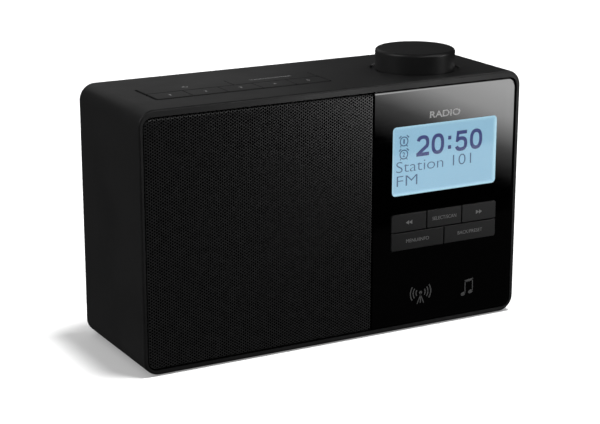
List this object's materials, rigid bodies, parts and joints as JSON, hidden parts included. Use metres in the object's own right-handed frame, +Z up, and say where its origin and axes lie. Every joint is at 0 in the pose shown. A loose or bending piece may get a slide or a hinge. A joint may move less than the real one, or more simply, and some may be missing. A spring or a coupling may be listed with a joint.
{
  "type": "tabletop radio",
  "caption": "Compact black tabletop digital radio: perforated speaker grille, gloss panel with lit display and keys, top tuning knob, fold-out telescopic antenna.",
  "frame": {"origin": "on the surface the feet stand on, under the middle of the overall width and depth", "axes": "+Z up, front with grille and display faces -Y, +X towards the display and knob side"},
  "size_m": [0.2, 0.078, 0.1314],
  "materials": {
    "black_shell": "satin",
    "inner_plastic": "matt",
    "gloss_fascia": "polished",
    "clear_lens": "polished",
    "grille_paint": "satin",
    "front_key_plastic": "satin",
    "top_key_plastic": "satin",
    "knob_plastic": "satin",
    "foot_rubber": "matt",
    "lcd": "polished",
    "backlight": "satin",
    "tin": "satin",
    "circuit_board": "satin",
    "switch": "satin",
    "shaft_steel": "satin",
    "brass_plated": "satin",
    "basket_steel": "satin",
    "foam": "matt",
    "surround_rubber": "satin",
    "paper_cone": "matt",
    "coil": "satin",
    "spider_cloth": "matt",
    "magnet_ferrite": "matt",
    "plate_steel": "satin",
    "can_aluminium": "satin",
    "chip": "satin",
    "socket": "satin",
    "ribbon": "satin",
    "wire": "satin",
    "antenna_chrome": "polished",
    "screw_steel": "satin"
  },
  "bodies": {
    "radio": {"cabinet": "black_shell", "rear_cover": "black_shell", "front_frame": "inner_plastic", "fascia_panel": "gloss_fascia", "display_lens": "clear_lens", "speaker_grille": "grille_paint", "rubber_feet": "foot_rubber", "lcd_glass": "lcd", "lcd_backlight": "backlight", "lcd_bezel": "tin", "display_board": "circuit_board", "front_switches": "switch", "top_board": "circuit_board", "top_switches": "switch", "encoder_body": "brass_plated", "encoder_washer": "shaft_steel", "encoder_nut": "shaft_steel", "speaker_basket": "basket_steel", "speaker_gasket": "foam", "speaker_surround": "surround_rubber", "speaker_spider": "spider_cloth", "speaker_top_plate": "plate_steel", "speaker_magnet": "magnet_ferrite", "speaker_yoke": "plate_steel", "main_board": "circuit_board", "tuner_shield": "tin", "capacitors": "can_aluminium", "board_chips": "chip", "dc_jack": "socket", "headphone_jack": "socket", "display_ribbon": "ribbon", "top_ribbon": "ribbon", "speaker_wires": "wire", "case_screws": "screw_steel", "frame_screws": "screw_steel", "speaker_screws": "screw_steel", "board_screws": "screw_steel"},
    "rewind_key": {"rewind_key": "front_key_plastic"},
    "select_key": {"select_key": "front_key_plastic"},
    "forward_key": {"forward_key": "front_key_plastic"},
    "menu_key": {"menu_key": "front_key_plastic"},
    "back_key": {"back_key": "front_key_plastic"},
    "preset_key_1": {"preset_key_1": "top_key_plastic"},
    "preset_key_2": {"preset_key_2": "top_key_plastic"},
    "preset_key_3": {"preset_key_3": "top_key_plastic"},
    "preset_key_4": {"preset_key_4": "top_key_plastic"},
    "preset_key_5": {"preset_key_5": "top_key_plastic"},
    "power_key": {"power_key": "top_key_plastic"},
    "snooze_key": {"snooze_key": "top_key_plastic"},
    "knob": {"tuning_knob": "knob_plastic", "encoder_shaft": "shaft_steel"},
    "cone": {"speaker_cone": "paper_cone", "voice_coil": "coil", "speaker_dust_cap": "paper_cone"},
    "antenna_base": {"antenna_foot": "antenna_chrome", "antenna_pin": "shaft_steel"},
    "antenna_tube_1": {"antenna_section_1": "antenna_chrome"},
    "antenna_tube_2": {"antenna_section_2": "antenna_chrome"},
    "antenna_tube_3": {"antenna_section_3": "antenna_chrome"},
    "antenna_tube_4": {"antenna_section_4": "antenna_chrome"}
  },
  "joints": [
    {"name": "rewind_key_press", "type": "slide", "parent": "radio", "child": "rewind_key", "axis": [0, 1, 0], "range_m": [0, 0.0005], "stiffness_N_per_m": 2000},
    {"name": "select_key_press", "type": "slide", "parent": "radio", "child": "select_key", "axis": [0, 1, 0], "range_m": [0, 0.0005], "stiffness_N_per_m": 2000},
    {"name": "forward_key_press", "type": "slide", "parent": "radio", "child": "forward_key", "axis": [0, 1, 0], "range_m": [0, 0.0005], "stiffness_N_per_m": 2000},
    {"name": "menu_key_press", "type": "slide", "parent": "radio", "child": "menu_key", "axis": [0, 1, 0], "range_m": [0, 0.0005], "stiffness_N_per_m": 2000},
    {"name": "back_key_press", "type": "slide", "parent": "radio", "child": "back_key", "axis": [0, 1, 0], "range_m": [0, 0.0005], "stiffness_N_per_m": 2000},
    {"name": "preset_key_1_press", "type": "slide", "parent": "radio", "child": "preset_key_1", "axis": [0, 0, -1], "range_m": [0, 0.0005], "stiffness_N_per_m": 2000},
    {"name": "preset_key_2_press", "type": "slide", "parent": "radio", "child": "preset_key_2", "axis": [0, 0, -1], "range_m": [0, 0.0005], "stiffness_N_per_m": 2000},
    {"name": "preset_key_3_press", "type": "slide", "parent": "radio", "child": "preset_key_3", "axis": [0, 0, -1], "range_m": [0, 0.0005], "stiffness_N_per_m": 2000},
    {"name": "preset_key_4_press", "type": "slide", "parent": "radio", "child": "preset_key_4", "axis": [0, 0, -1], "range_m": [0, 0.0005], "stiffness_N_per_m": 2000},
    {"name": "preset_key_5_press", "type": "slide", "parent": "radio", "child": "preset_key_5", "axis": [0, 0, -1], "range_m": [0, 0.0005], "stiffness_N_per_m": 2000},
    {"name": "power_key_press", "type": "slide", "parent": "radio", "child": "power_key", "axis": [0, 0, -1], "range_m": [0, 0.0005], "stiffness_N_per_m": 2000},
    {"name": "snooze_key_press", "type": "slide", "parent": "radio", "child": "snooze_key", "axis": [0, 0, -1], "range_m": [0, 0.0005], "stiffness_N_per_m": 2000},
    {"name": "knob_turn", "type": "hinge", "parent": "radio", "child": "knob", "pos_m": [0.0583, -0.00882, 0.1219], "axis": [0, 0, 1], "continuous": true},
    {"name": "cone_excursion", "type": "slide", "parent": "radio", "child": "cone", "axis": [0, -1, 0], "range_m": [-0.001, 0.001], "stiffness_N_per_m": 1500, "deforming": ["speaker_surround", "speaker_spider"]},
    {"name": "antenna_swivel", "type": "hinge", "parent": "radio", "child": "antenna_base", "pos_m": [0.08, 0.02962, 0.1089], "axis": [0, 1, 0], "range_deg": [0, 180]},
    {"name": "antenna_tilt", "type": "hinge", "parent": "antenna_base", "child": "antenna_tube_1", "pos_m": [0.08, 0.03537, 0.1089], "axis": [0, 0, -1], "range_deg": [0, 90]},
    {"name": "antenna_extend_2", "type": "slide", "parent": "antenna_tube_1", "child": "antenna_tube_2", "axis": [-1, 0, 0], "range_m": [0, 0.12]},
    {"name": "antenna_extend_3", "type": "slide", "parent": "antenna_tube_2", "child": "antenna_tube_3", "axis": [-1, 0, 0], "range_m": [0, 0.12]},
    {"name": "antenna_extend_4", "type": "slide", "parent": "antenna_tube_3", "child": "antenna_tube_4", "axis": [-1, 0, 0], "range_m": [0, 0.12]}
  ]
}
